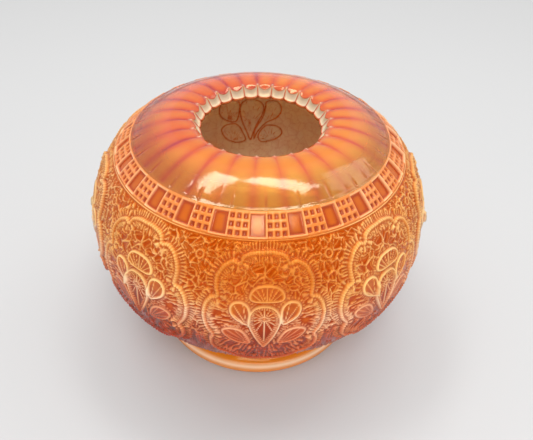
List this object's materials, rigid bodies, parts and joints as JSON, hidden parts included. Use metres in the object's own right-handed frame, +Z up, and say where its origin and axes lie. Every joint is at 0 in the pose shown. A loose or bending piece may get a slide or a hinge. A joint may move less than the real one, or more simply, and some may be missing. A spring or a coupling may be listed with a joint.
{
  "type": "glass rose bowl",
  "caption": "Round pressed glass bowl with a collar foot, medallion relief round its side, a window band, a fluted turned-in shoulder and a small scalloped mouth.",
  "frame": {"origin": "centre of the circle that the foot rests on", "axes": "+Z up through the centre of the mouth; -Y towards the front, where a medallion faces the viewer"},
  "size_m": [0.1326, 0.1323, 0.0978],
  "materials": {
    "foot_glass": "fire polished, plain amber-orange glass",
    "wall_glass": "pressed, sprayed with an iridescent orange film",
    "relief_glass": "raised lines where the film looks cream",
    "band_glass": "bright, clear orange with sharp edges",
    "dome_glass": "satin orange-coral film with pink streaks in the grooves"
  },
  "bodies": {
    "root": {"collar_foot": "foot_glass", "bowl_base": "wall_glass", "bowl_wall": "wall_glass", "medallion_relief": "relief_glass", "window_band": "band_glass", "fluted_dome": "dome_glass", "scalloped_rim": "dome_glass"}
  },
  "joints": []
}
